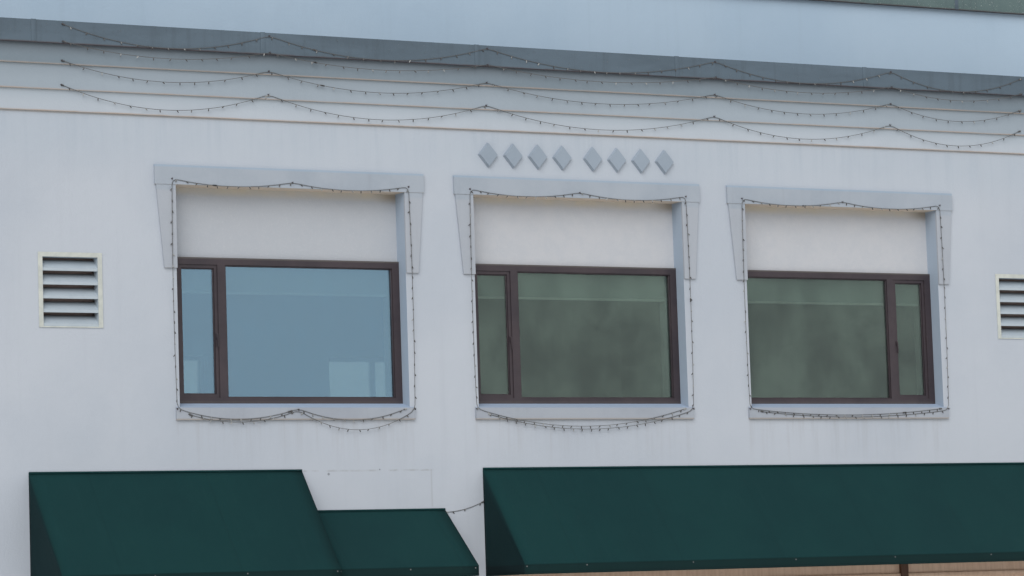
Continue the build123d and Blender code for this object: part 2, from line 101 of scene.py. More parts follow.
def garlandRoute(centre, sags):
    g = garlands
    left, right = centre - g["halfWidth"], centre + g["halfWidth"]
    hooks = [right + (left - right) * n / len(sags) for n in range(len(sags) + 1)]
    runs = round((g["level"] - g["foot"]) / strings["step"])
    rise = (g["level"] - g["foot"]) / runs
    bows = [4 * g["bow"] * (n / runs) * (1 - n / runs) for n in range(runs)]
    route = strand([right - g["startGap"]] + hooks[1:], g["foot"], [pair[0] for pair in sags])
    route += [(left - bow, g["foot"] + n * rise) for n, bow in enumerate(bows)]
    route += swag(left, centre, g["level"], g["sag"]) + swag(centre, right, g["level"], g["sag"])
    route += [(right + bow, g["level"] - n * rise) for n, bow in enumerate(bows)]
    return route + strand(hooks, g["foot"] - g["strandGap"], [pair[1] for pair in sags])


def cordFromRoute(name, route, out, length):
    data = bpy.data.curves.new(name, "CURVE")
    data.dimensions = "3D"
    data.bevel_depth = strings["diameter"] / 2
    data.bevel_resolution = 1
    data.resolution_u = 3
    data.use_fill_caps = True
    line = data.splines.new("NURBS")
    line.points.add(len(route) - 1)
    y = wallFace - out - strings["clearance"] - strings["tube"] / 2
    for point, (x, z) in zip(line.points, route):
        point.co = (x, y, z, 1)
    line.order_u = 3
    line.use_endpoint_u = True
    made = bpy.data.objects.new(name, data)
    bpy.context.collection.objects.link(made)
    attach(made, body)
    return made


cordRoutes = {}
for row, (level, sag, out) in strings["rows"].items():
    route = []
    for start, end in zip(strings["hooks"], strings["hooks"][1:]):
        route += swag(start, end, level, sag)
    cordRoutes[f"lamp_string_{row}"] = (route + [(strings["hooks"][-1], level)], out, strings["rowLengths"][row])
for place, centre in windowCentres.items():
    cordRoutes[f"window_garland_{place}"] = (garlandRoute(centre, garlands["sillSags"][place]), garlands["out"],
                                            garlands["lengths"][place])
low, high = link["levels"]
start, end = link["ends"]
cordRoutes["lamp_string_link"] = ([(start + (end - start) * n / link["steps"],
                                    low + (high - low) * n / link["steps"]
                                    - 4 * link["sag"] * (n / link["steps"]) * (1 - n / link["steps"]))
                                   for n in range(link["steps"] + 1)], 0, link["length"])
cords = {}
for node, (route, out, length) in cordRoutes.items():
    cords[node] = cordFromRoute(node.replace("string", "wire").replace("garland", "wire"), route, out, length)
    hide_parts(node)
print("cords laid", len(cords))


# Materials
def colour(red, green, blue, alpha=1.0):
    def linear(value):
        value /= 255
        return value / 12.92 if value <= 0.04045 else ((value + 0.055) / 1.055) ** 2.4
    return (linear(red), linear(green), linear(blue), alpha)


class Wire:
    def __init__(self, tree, socket=None):
        self.tree = tree
        self.socket = socket

    def node(self, kind, settings=None, inputs=None, output=0):
        made = self.tree.nodes.new(kind)
        for name, value in (settings or {}).items():
            setattr(made, name, value)
        for key, value in (inputs or {}).items():
            if isinstance(value, Wire):
                self.tree.links.new(value.socket, made.inputs[key])
            else:
                made.inputs[key].default_value = value
        return Wire(self.tree, made.outputs[output] if made.outputs else None)

    def maths(self, operation, first, second):
        return self.node("ShaderNodeMath", {"operation": operation}, {0: first, 1: second})

    def __add__(self, other):
        return self.maths("ADD", self, other)

    __radd__ = __add__

    def __sub__(self, other):
        return self.maths("SUBTRACT", self, other)

    def __rsub__(self, other):
        return self.maths("SUBTRACT", other, self)

    def __mul__(self, other):
        return self.maths("MULTIPLY", self, other)

    __rmul__ = __mul__

    def __pow__(self, other):
        return self.maths("POWER", self, other)


def smooth(value, low, high):
    return value.node("ShaderNodeMapRange", {"interpolation_type": "SMOOTHSTEP"},
                      {"Value": value, "From Min": low, "From Max": high})


def near(value, centre, half, soft):  # 1 within half of the centre, fading over soft
    return 1 - smooth(value.maths("ABSOLUTE", value - centre, 0), half, half + soft)


def noise(place, scale, detail=4, roughness=0.55, stretch=None):
    if stretch:
        place = place.node("ShaderNodeMapping", None, {"Vector": place, "Scale": stretch})
    return place.node("ShaderNodeTexNoise", None, {"Vector": place, "Scale": scale, "Detail": detail,
                                                   "Roughness": roughness})


def wave(place, direction, scale, distortion):
    return place.node("ShaderNodeTexWave", {"bands_direction": direction},
                      {"Vector": place, "Scale": scale, "Distortion": distortion})


def mix(factor, first, second):  # a plain triple is a colour from 0 to 255
    first, second = [colour(*shade) if isinstance(shade, tuple) else shade for shade in (first, second)]
    return factor.node("ShaderNodeMix", {"data_type": "RGBA"}, {0: factor, 6: first, 7: second}, output=2)


def axes(place):
    return [place.node("ShaderNodeSeparateXYZ", None, {0: place}, output=n) for n in range(3)]


def facing(place):
    return axes(place.node("ShaderNodeNewGeometry", output="Normal"))


def begin(name):
    material = bpy.data.materials.new(name)
    material.use_nodes = True
    material.node_tree.nodes.clear()
    return material, Wire(material.node_tree).node("ShaderNodeTexCoord", output="Object")


def complete(material, base, roughness, height=None, depth=0.001, sockets=None):
    links = {"Base Color": base, "Roughness": roughness, **(sockets or {})}
    tree = material.node_tree
    if height is not None:
        links["Normal"] = height.node("ShaderNodeBump", None, {"Height": height, "Distance": depth, "Strength": 1.0})
    shader = Wire(tree).node("ShaderNodeBsdfPrincipled", None, links)
    Wire(tree).node("ShaderNodeOutputMaterial", None, {"Surface": shader})
    return material


# Painted stucco: trowel marks, broad patches, thin rain runs, and marks of its own where a piece has them
def stucco(name, looks, marks=None):
    material, place = begin(name)
    x, y, z = axes(place)
    patches = smooth(noise(place, 0.55, 5), 0.38, 0.66)
    base = mix(patches, looks["base"], looks["patch"])
    runs = smooth(noise(place, 2.2, 5, 0.6, (3.2, 3.2, 0.16)), 0.52, 0.78)
    base = mix(runs * looks.get("runs", 0.25), base, looks["run"])
    fine = noise(place, looks.get("grain", 46), 6, 0.62)
    base = mix(smooth(fine, 0.60, 0.80) * looks.get("specks", 0.25), base, looks["speck"])
    if marks:
        base = marks(place, x, y, z, base)
    # Painted light: downward faces turn a warm tan, standing in for light bounced up from the ground
    under = smooth(0 - facing(place)[2], 0.6, 0.9)
    base = mix(under * 0.8, base, (222, 200, 176))
    trowel = noise(place, 7, 3, 0.5)
    return complete(material, base, 0.86 - smooth(fine, 0.4, 0.7) * 0.1, fine * 0.6 + trowel * 0.7,
                    looks.get("relief", 0.004))


# Tones for the wall marks: dirt and old marks, except warmShade, painted shade for thin lines under a band and a sill
grimeAndShade = {"brown": (120, 104, 90), "soot": (96, 98, 102), "ghost": (150, 150, 152), "warmShade": (150, 134, 116)}


def frontMarks(place, x, y, z, base):
    streak = smooth(noise(place, 3.0, 5, 0.65, (4.2, 1, 0.22)), 0.44, 0.72)
    for centre in windowCentres.values():
        under = near(x, centre, 1.30, 0.05) * smooth(z, 3.30, 3.915) * (1 - smooth(z, 3.915, 3.922))
        base = mix(under * streak * 0.14, base, grimeAndShade["brown"])
    below = smooth(z, 6.30, 6.95) * (1 - smooth(z, 6.946, 6.950))
    base = mix(smooth(z, 6.2, 6.8) * 0.4, base, (172, 182, 192))
    base = mix(below * streak * 0.22, base, (150, 163, 176))
    # Painted shade: a thin warm line on the wall just under the lowest cornice band
    base = mix(near(z, 6.940, 0.006, 0.010) * 0.35, base, grimeAndShade["warmShade"])
    edge = near(z, 3.405, 0.004, 0.010) * near(x, -2.55, 0.72, 0.03) * smooth(noise(place, 7, 3), 0.40, 0.60)
    edge = edge + near(x, -1.845, 0.003, 0.010) * near(z, 3.22, 0.18, 0.02) * 0.6
    base = mix(edge * 0.5, base, grimeAndShade["ghost"])
    for markX, markZ, size in ((-3.007, 3.372, 0.017), (-2.432, 3.414, 0.010), (-0.42, 6.41, 0.008)):
        away = (x - markX) ** 2 + (z - markZ) ** 2
        base = mix((1 - smooth(away, (0.5 * size) ** 2, size ** 2)) * 0.65, base, grimeAndShade["soot"])
    # Painted shade: sideways-facing faces above 3.9 m, such as the window reveals, turn a cooler blue-grey
    across = facing(place)[0]
    jamb = smooth(across * across, 0.4, 0.8) * near(x, 0, 5.0, 0.01) * smooth(z, 3.9, 3.95)
    base = mix(jamb * 0.7, base, (146, 163, 181))
    foot = (1 - smooth(z, 0.0, 0.55)) * smooth(noise(place, 4, 5, 0.6), 0.35, 0.65)
    return mix(foot * 0.5, base, grimeAndShade["soot"])


def sideMarks(place, x, y, z, base):
    courses = z.node("ShaderNodeTexBrick", {"offset": 0.5},
                     {"Vector": place.node("ShaderNodeCombineXYZ", None, {0: y + x, 1: z, 2: 0.0}), "Scale": 1.0,
                      "Mortar Size": 0.006, "Mortar Smooth": 0.5, "Brick Width": 0.42, "Row Height": 0.215,
                      "Color1": (1, 1, 1, 1), "Color2": (0.9, 0.9, 0.9, 1), "Mortar": (0, 0, 0, 1)}, output=1)
    base = mix(courses * 0.16, base, grimeAndShade["soot"])
    foot = (1 - smooth(z, 0.0, 0.7)) * smooth(noise(place, 3, 5, 0.6), 0.35, 0.65)
    return mix(foot * 0.45, base, grimeAndShade["soot"])


def bandMarks(bottom, top, shade, strength):
    def marks(place, x, y, z, base):
        # Painted shade: each band darkens towards its top, under the step above
        base = mix(smooth(z, bottom + 0.25 * (top - bottom), top) * 0.75, base, shade)
        # Painted light and shade: a thin warm line along the band's foot, at the edge of its step
        lower = (1 - smooth(z, bottom + 0.002, bottom + 0.016)) * (0.5 + smooth(noise(place, 3, 4), 0.35, 0.65) * 0.5)
        return mix(lower * strength, base, (170, 150, 136))
    return marks


def tones(base, patch, run, speck, **shares):
    return {"base": base, "patch": patch, "run": run, "speck": speck, **shares}


bandShares = {"runs": 0.18, "relief": 0.003}
wallTones = tones((183, 188, 196), (176, 182, 191), (168, 173, 181), (196, 200, 206), specks=0.22, runs=0.22)
partyTones = {**wallTones, "base": (170, 173, 176), "patch": (160, 163, 167), "runs": 0.4}
setBackTones = tones((173, 192, 209), (167, 187, 205), (158, 176, 192), (184, 200, 214), runs=0.2)
lowerTones = tones((180, 187, 195), (174, 181, 189), (160, 169, 177), (188, 196, 202), **bandShares)
middleTones = tones((156, 166, 175), (150, 160, 169), (138, 147, 156), (168, 176, 183), **bandShares)
upperTones = tones((124, 136, 145), (117, 129, 138), (106, 116, 124), (140, 149, 156), **bandShares)
ornamentTones = tones((148, 159, 171), (141, 152, 164), (128, 138, 149), (170, 178, 187), grain=90, relief=0.002)
materials = {
    "front": stucco("front_stucco", wallTones, frontMarks),
    "party": stucco("party_wall_render", partyTones, sideMarks),
    "upper": stucco("set_back_stucco", setBackTones),
    "bandLower": stucco("lower_band_paint", lowerTones, bandMarks(6.947, 7.157, (160, 170, 179), 0.75)),
    "bandMiddle": stucco("middle_band_paint", middleTones, bandMarks(7.157, 7.404, (138, 148, 157), 0.70)),
    "bandUpper": stucco("upper_band_paint", upperTones, bandMarks(7.404, 7.605, (98, 106, 113), 0.60)),
    "ornament": stucco("ornament_paint", ornamentTones),
}


# Surrounds and sills: smooth masonry paint, chalky, dust specks, painted sky light on top and warm bounce light below
def surroundPaint(name, base, patch, dust):
    material, place = begin(name)
    z = axes(place)[2]
    shade = mix(smooth(noise(place, 1.7, 5, 0.6), 0.36, 0.66), base, patch)
    shade = mix(smooth(noise(place, 60, 4, 0.7), 0.58, 0.76) * 0.3, shade, dust)
    drip = smooth(noise(place, 4, 4, 0.6, (2.0, 1, 0.2)), 0.55, 0.8)
    shade = mix(drip * 0.12, shade, grimeAndShade["soot"])
    # Painted light: upward faces take the speck tone, standing in for sky light falling on the tops
    up = smooth(facing(place)[2], 0.2, 0.7)
    shade = mix(up * 0.8, shade, dust)
    # Painted shade: a thin warm line along the foot of the sill's face
    line = near(z, 3.926, 0.004, 0.006)
    shade = mix(line * 0.5, shade, grimeAndShade["warmShade"])
    # Painted light: downward faces turn a warm tan for light bounced up from the ground
    shade = mix(smooth(0 - facing(place)[2], 0.6, 0.9) * 0.8, shade, (216, 196, 170))
    # Painted highlight: a blue line along the lintel's top edge, for sky light caught there
    shade = mix(near(z, 6.452, 0.006, 0.018) * 0.45, shade, (146, 170, 192))
    shade = mix(near(z, 5.80, 0.39, 0.03) * 0.5, shade, (170, 172, 178))
    return complete(material, shade, 0.74 + smooth(noise(place, 20), 0.4, 0.7) * 0.12,
                    noise(place, 70, 5, 0.6) * 0.5 + noise(place, 9, 3) * 0.5, 0.0022)


materials["surround"] = surroundPaint("surround_paint", (161, 168, 177), (153, 161, 171), (182, 190, 198))
materials["sill"] = surroundPaint("sill_paint", (161, 166, 174), (153, 158, 167), (154, 172, 196))


# Infill panels over the frames: rough hand-trowelled render, painted warm light at the head and shade at one corner
def infillRender():
    material, place = begin("infill_render")
    x, y, z = axes(place)
    swirl = noise(place, 5.5, 5, 0.68)
    fine = noise(place, 60, 6, 0.7)
    base = mix(smooth(swirl, 0.38, 0.64), (187, 188, 192), (183, 185, 190))
    base = mix((1 - smooth(x, -2.05, -1.9)) * 0.6, base, (166, 171, 178))
    base = mix(smooth(fine, 0.52, 0.72) * 0.3, base, (200, 201, 203))
    # Painted light: a warm tan towards the head, for light bounced up into the top of the recess
    head = smooth(z, 6.16, 6.25)
    base = mix(head * (0.40 + smooth(noise(place, 4, 4), 0.35, 0.65) * 0.25), base, (206, 193, 168))
    # Painted shade: a darker brown in each panel's top right corner, under the head beside the reveal
    for centre in windowCentres.values():
        corner = smooth(x, centre + 0.95, centre + 1.25) * (1 - smooth(x, centre + 1.27, centre + 1.30))
        base = mix(corner * smooth(z, 6.13, 6.24) * 0.6, base, (138, 124, 108))
    return complete(material, base, 0.92, fine * 0.5 + swirl * 0.6 + noise(place, 22, 4, 0.7) * 0.4, 0.0035)


materials["infill"] = infillRender()
materials["lining"] = surroundPaint("lining_paint", (222, 224, 222), (210, 213, 212), (230, 231, 230))


# Copings: dark paint gone dull, with pale flaking specks, a dusty top and painted shade along the foot
def copingPaint(name, base, patch, speck, amount, bottom):
    material, place = begin(name)
    z = axes(place)[2]
    shade = mix(smooth(noise(place, 1.1, 6, 0.68, (0.6, 1, 2.2)), 0.36, 0.66), base, patch)
    flakes = smooth(noise(place, 44, 4, 0.75), 0.62, 0.67)
    shade = mix(flakes * amount, shade, speck)
    runs = smooth(noise(place, 5, 4, 0.6, (2.2, 1, 0.15)), 0.50, 0.72)
    shade = mix(runs * 0.25, shade, (60, 70, 78))
    # Painted shade: a patchy red-brown line along the coping's foot
    drip = (1 - smooth(z, bottom, bottom + 0.016)) * smooth(noise(place, 4, 4, 0.6), 0.30, 0.55)
    shade = mix(drip * 0.7, shade, (74, 62, 58))
    up = smooth(facing(place)[2], 0.5, 0.9)
    shade = mix(up * (0.35 + smooth(noise(place, 3, 5), 0.4, 0.7) * 0.4), shade, (128, 134, 138))
    return complete(material, shade, 0.62 + flakes * 0.2, noise(place, 30, 5, 0.65) * 0.6 + flakes * 0.7, 0.003)


materials["coping"] = copingPaint("coping_paint", (84, 99, 111), (74, 88, 99), (124, 132, 138), 0.55, 7.605)
materials["upperCoping"] = copingPaint("upper_coping_paint", (93, 112, 111), (82, 101, 101), (196, 200, 196), 0.8,
                                       8.889)


# Window metal: dark bronze, dusty on ledges
def bronzeMetal():
    material, place = begin("bronze_metal")
    z = axes(place)[2]
    shade = mix(smooth(noise(place, 2.5, 5, 0.6), 0.36, 0.66), (64, 55, 59), (55, 48, 53))
    shade = mix(near(z, 5.553, 0.005, 0.006) * 0.45 + near(z, 4.110, 0.006, 0.01) * 0.2, shade, (102, 98, 92))
    shade = mix(smooth(noise(place, 90, 4, 0.7), 0.6, 0.75) * 0.3, shade, (84, 80, 80))
    return complete(material, shade, 0.42 + smooth(noise(place, 12, 4), 0.35, 0.7) * 0.2,
                    noise(place, 160, 3) * 0.5, 0.0005, {"Metallic": 0.25})


materials["bronze"] = bronzeMetal()


# Glass: a clear pane with a painted reflection, a metallic layer tinted by position, broken up by broad soft clouds
def clearGlass(name, reflectionTints, share, body):
    material, place = begin(name)
    x = axes(place)[0]
    ripple = place.node("ShaderNodeBump", None, {"Height": noise(place, 1.6, 2, 0.4), "Distance": 0.02,
                                                 "Strength": 0.25})
    reflectionMottle = smooth(noise(place, 1.2, 6, 0.66, (1, 1, 0.7)), 0.36, 0.66)
    smear = smooth(noise(place, 2.4, 5, 0.6, (1, 1, 0.5)), 0.50, 0.78)
    beyond = smooth(x, -1.9, -1.5)
    first, second, other = reflectionTints
    # Painted reflection: one tint left of x = -1.9 and two mottled tints to the right, standing in for reflected sky
    # and surroundings
    reflectionTint = mix(beyond, first, mix(reflectionMottle, second, other))
    pane = place.node("ShaderNodeBsdfPrincipled", None,
                      {"Base Color": colour(*body), "Roughness": 0.02 + smear * 0.05, "IOR": 1.45,
                       "Transmission Weight": 0.95, "Normal": ripple})
    sheen = place.node("ShaderNodeBsdfPrincipled", None,
                       {"Base Color": reflectionTint, "Metallic": 1.0, "Roughness": 0.03 + smear * 0.06, "Normal": ripple})
    strength = share[0] + beyond * (share[1] - share[0]) + smear * 0.03
    both = place.node("ShaderNodeMixShader", None, {0: strength, 1: pane, 2: sheen})
    place.node("ShaderNodeOutputMaterial", None, {"Surface": both})
    return material


materials["glass"] = clearGlass("window_glass", ((150, 190, 218), (78, 96, 88), (132, 154, 140)),
                                (0.36, 0.19), (182, 198, 192))
materials["shopGlass"] = clearGlass("shop_glass", ((150, 170, 180), (120, 138, 142), (156, 174, 180)),
                                    (0.20, 0.20), (190, 204, 204))


# Louvres: chalky white paint, cream where the sun has turned it, dirt on the blades, painted shade in the depths
def louvrePaint():
    material, place = begin("louvre_paint")
    y = axes(place)[1]
    deep = smooth(y, -5.925, -5.885)
    shade = mix(smooth(noise(place, 8, 4), 0.4, 0.65), (196, 198, 190), (183, 186, 180))
    # Painted shade: behind the front edge the louvre turns blue-grey, and its deepest parts dark brown
    shade = mix(smooth(y, -6.008, -5.998) * 0.75, shade, (164, 178, 192))
    shade = mix(deep * 0.9, shade, (72, 60, 52))
    shade = mix(smooth(noise(place, 40, 4, 0.7), 0.58, 0.75) * 0.3, shade, (128, 122, 112))
    return complete(material, shade, 0.55, noise(place, 80, 4) * 0.5, 0.001)


materials["louvre"] = louvrePaint()


# Blinds: a plain weave seen through the glass
def blindCloth():
    material, place = begin("blind_cloth")
    z = axes(place)[2]
    weave = wave(place, "Z", 60.0, 0.4)
    shade = mix(smooth(noise(place, 2, 4), 0.35, 0.65), (214, 220, 214), (204, 212, 206))
    shade = mix(weave * 0.2, shade, (140, 150, 150))
    shade = mix(near(z, 5.217, 0.012, 0.003), shade, (244, 246, 240))
    return complete(material, shade, 0.85, weave, 0.001)


materials["blind"] = blindCloth()


# Awning canvas: tight plain weave, sun-faded on the slope, dust streaks and seams between the widths
def awningCloth():
    material, place = begin("awning_canvas")
    x, y, z = axes(place)
    slope = y * 0.644 + z * 0.765
    threads, picks = wave(place, "X", 95.0, 0.2), wave(place, "Z", 95.0, 0.2)
    shade = mix(smooth(noise(place, 0.9, 5, 0.6), 0.35, 0.66), (18, 55, 56), (16, 51, 53))
    shade = mix(smooth(noise(place, 5, 5, 0.65, (3.2, 0.5, 0.5)), 0.52, 0.76) * 0.12, shade, (38, 72, 72))
    shade = mix((threads * picks) * 0.2, shade, (34, 68, 69))
    panel = x.maths("PINGPONG", x + 1.249, 0.621)
    seam = near(panel, 0.621, 0.002, 0.002) + near(panel, 0.609, 0.001, 0.001) * 0.6
    shade = mix(seam * 0.28, shade, (13, 34, 38))
    valance = 1 - smooth(z, 2.395, 2.410)
    hem = near(z, 2.326, 0.0015, 0.0015) + near(z, 2.390, 0.001, 0.001) * 0.6
    # Painted shade: the hanging valance is darker and greyer than the slope
    shade = mix(valance * 0.65, shade, (20, 38, 38))
    shade = mix(hem * valance * 0.8, shade, (12, 24, 26))
    dust = smooth(noise(place, 14, 5, 0.7), 0.60, 0.78) * 0.06
    shade = mix(dust, shade, (92, 106, 104))
    # Painted shade: the sideways-facing end panels turn darker
    across = facing(place)[0]
    shade = mix(smooth(across * across, 0.35, 0.75) * 0.6, shade, (11, 22, 27))
    relief = threads * 0.5 + picks * 0.5 + noise(place, 6, 4) * 0.9 - seam * 0.6
    return complete(material, shade, 0.80, relief, 0.0014, {"Specular IOR Level": 0.12})


materials["awning"] = awningCloth()


def greyTube():
    material, place = begin("galvanised_tube")
    shade = mix(smooth(noise(place, 9, 5), 0.38, 0.64), (128, 130, 130), (108, 110, 112))
    shade = mix(smooth(noise(place, 50, 4, 0.7), 0.60, 0.72) * 0.5, shade, (98, 74, 58))
    return complete(material, shade, 0.48 + smooth(noise(place, 30), 0.4, 0.7) * 0.2, noise(place, 120, 4) * 0.5,
                    0.0006, {"Metallic": 0.7})


materials["tube"] = greyTube()


def timber(name, light, dark, worn, grain):
    material, place = begin(name)
    ring = noise(place, 3.0, 6, 0.6, grain)
    shade = mix(smooth(ring, 0.36, 0.64), light, dark)
    shade = mix(smooth(noise(place, 22, 5, 0.7), 0.58, 0.72) * 0.35, shade, worn)
    return complete(material, shade, 0.58 + smooth(ring, 0.4, 0.6) * 0.15, ring * 0.6 + noise(place, 70, 4) * 0.3,
                    0.0012)


materials["tan"] = timber("tan_paint", (226, 194, 170), (214, 181, 156), (176, 146, 122), (9, 9, 1.2))
materials["brown"] = timber("brown_stain", (96, 66, 48), (74, 48, 34), (120, 92, 70), (12, 12, 0.9))


def concrete(name, light, dark, grit):
    material, place = begin(name)
    cloud = noise(place, 1.1, 6, 0.65)
    fine = noise(place, 85, 5, 0.7)
    shade = mix(smooth(cloud, 0.36, 0.66), light, dark)
    shade = mix(smooth(fine, 0.58, 0.72) * 0.4, shade, grit)
    return complete(material, shade, 0.84, fine * 0.7 + cloud * 0.4, 0.0025)


materials["floor"] = concrete("trowelled_concrete", (150, 148, 143), (134, 132, 128), (170, 168, 162))


# Roof membrane: sheets lapped every metre, grit, and pale patches where puddles dried
def roofMembrane():
    material, place = begin("roof_membrane")
    x = axes(place)[0]
    lap = x.maths("PINGPONG", x + 20, 0.5)
    seam = near(lap, 0.5, 0.006, 0.006) + near(lap, 0.44, 0.003, 0.004) * 0.4
    shade = mix(smooth(noise(place, 0.8, 6, 0.65), 0.36, 0.66), (112, 114, 116), (94, 96, 99))
    puddle = noise(place, 0.35, 3, 0.5)
    shade = mix(smooth(puddle, 0.55, 0.62) * 0.3, shade, (132, 131, 127))
    shade = mix(smooth(noise(place, 120, 4, 0.75), 0.58, 0.70) * 0.5, shade, (140, 140, 138))
    shade = mix(seam * 0.7, shade, (58, 59, 61))
    return complete(material, shade, 0.9, noise(place, 120, 4, 0.7) * 0.4 + seam * 0.9, 0.004)


materials["roof"] = roofMembrane()


def lampWire():
    material, place = begin("lamp_wire")
    twist = wave(place, "DIAGONAL", 42.0, 0.5)
    shade = mix(twist, (84, 84, 84), (108, 106, 104))
    return complete(material, shade, 0.6, twist, 0.003)


materials["wire"] = lampWire()


def lampGlass():
    material, place = begin("lamp_glass")
    shade = mix(smooth(noise(place, 11, 3, 0.5), 0.52, 0.60), (78, 76, 76), (158, 158, 156))
    return complete(material, shade, 0.25, noise(place, 200, 2) * 0.3, 0.0003)


materials["lamp"] = lampGlass()


def agedSteel():
    material, place = begin("zinc_steel")
    shade = mix(smooth(noise(place, 40, 4, 0.7), 0.45, 0.65), (166, 168, 168), (120, 116, 110))
    return complete(material, shade, 0.42, noise(place, 200, 3) * 0.4, 0.0004, {"Metallic": 0.75})


materials["steel"] = agedSteel()
materials["screen"] = timber("screen_cloth", (128, 110, 102), (112, 96, 90), (142, 128, 120), (40, 40, 40))
print("materials ready", len(materials))

finishes = {"front": ["front_wall_lower", "front_wall_upper"], "party": ["left_wall", "right_wall", "rear_wall"],
            "upper": ["set_back_wall"], "bandLower": ["cornice_band_lower"], "bandMiddle": ["cornice_band_middle"],
            "bandUpper": ["cornice_band_upper"], "coping": ["front_coping"], "upperCoping": ["upper_coping"],
            "ornament": ["frieze_ornament"], "blind": ["window_blinds"], "louvre": ["louvre_left", "louvre_right"],
            "tan": ["shop_frame_left", "shop_frame_right", "entrance_frame"],
            "shopGlass": ["shop_glass_left", "shop_glass_right", "entrance_glass", "rear_window_glass"],
            "brown": ["divider_post", "rear_door"], "bronze": ["entrance_doors", "rear_window_frames"],
            "floor": ["ground_slab", "upper_floor"], "roof": ["front_roof", "main_roof"],
            "tube": ["awning_frame_left", "awning_frame_right", "awning_frame_entrance"]}
windowFinishes = {"window_surround": "surround", "window_sill": "sill", "window_frame": "bronze",
                  "window_glass": "glass", "infill_panel": "infill"}


def wear(thing, finish):
    thing.data.materials.clear()
    thing.data.materials.append(materials[finish])


for finish, names in finishes.items():
    for name in names:
        wear(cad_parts[name], finish)
for name, finish in windowFinishes.items():
    for place in windowCentres:
        wear(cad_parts[f"{name}_{place}"], finish)
print("nodes finished")


# Tools of this bench
def clearSelection():
    bpy.ops.object.select_all(action="DESELECT")


def applied(thing, kind, **values):
    clearSelection()
    thing.select_set(True)
    bpy.context.view_layer.objects.active = thing
    modifier = thing.modifiers.new(kind.lower(), kind)
    for name, value in values.items():
        setattr(modifier, name, value)
    bpy.ops.object.modifier_apply(modifier=modifier.name)


def bar(low, high, edge=0.002):  # a straight length with eased edges
    clearSelection()
    size = [b - a for a, b in zip(low, high)]
    bpy.ops.mesh.primitive_cube_add(size=1, location=[(a + b) / 2 for a, b in zip(low, high)])
    made = bpy.context.object
    bpy.ops.object.mode_set(mode="EDIT")
    bpy.ops.transform.resize(value=size)
    bpy.ops.object.mode_set(mode="OBJECT")
    bpy.ops.object.transform_apply()
    if edge:
        applied(made, "BEVEL", width=edge, segments=2)
    return made


def border(low, high, width, edge):  # four bars round an upright rectangle
    (x0, y0, z0), (x1, y1, z1) = low, high
    return [bar((x0, y0, z0), (x1, y1, z0 + width), edge), bar((x0, y0, z1 - width), (x1, y1, z1), edge),
            bar((x0, y0, z0 + width), (x0 + width, y1, z1 - width), edge),
            bar((x1 - width, y0, z0 + width), (x1, y1, z1 - width), edge)]


def copyOf(thing, move, turn=0.0):
    twin = thing.copy()
    twin.data = thing.data.copy()
    twin.data.transform(Matrix.Translation(move) @ Matrix.Rotation(turn, 4, "Y"))
    bpy.context.collection.objects.link(twin)
    return twin


def piece(name, parts, finish):
    clearSelection()
    for part in parts:
        part.select_set(True)
    bpy.context.view_layer.objects.active = parts[0]
    if len(parts) > 1:
        bpy.ops.object.join()
    made = bpy.context.view_layer.objects.active
    made.name = made.data.name = name
    wear(made, finish)
    clearSelection()
    made.select_set(True)
    bpy.ops.object.shade_smooth_by_angle(angle=math.radians(35))
    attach(made, body)
    return made


# Awnings: one stretched cloth each, with its closed ends and a short valance
awnings = {"right": (-1.249, 6.198, 3.412, 0.846, (True, True), 6),
           "left": (-6.198, -3.304, 3.412, 0.846, (True, True), 2),
           "entrance": (-3.304, -1.701, 3.000, 0.705, (False, True), 2)}
awningShape = {"bar": 2.408, "hem": 2.302, "thickness": 0.003, "dip": 0.006, "ripple": 0.003, "slopeRows": 18,
               "valanceRows": 6, "column": 0.155}


def clothGrid(name, columns, rows, at):
    clearSelection()
    bpy.ops.mesh.primitive_grid_add(x_subdivisions=columns, y_subdivisions=rows, size=1)
    made = bpy.context.object
    made.name = name
    for vertex in made.data.vertices:
        vertex.co = at(vertex.co.x + 0.5, vertex.co.y + 0.5)
    return made


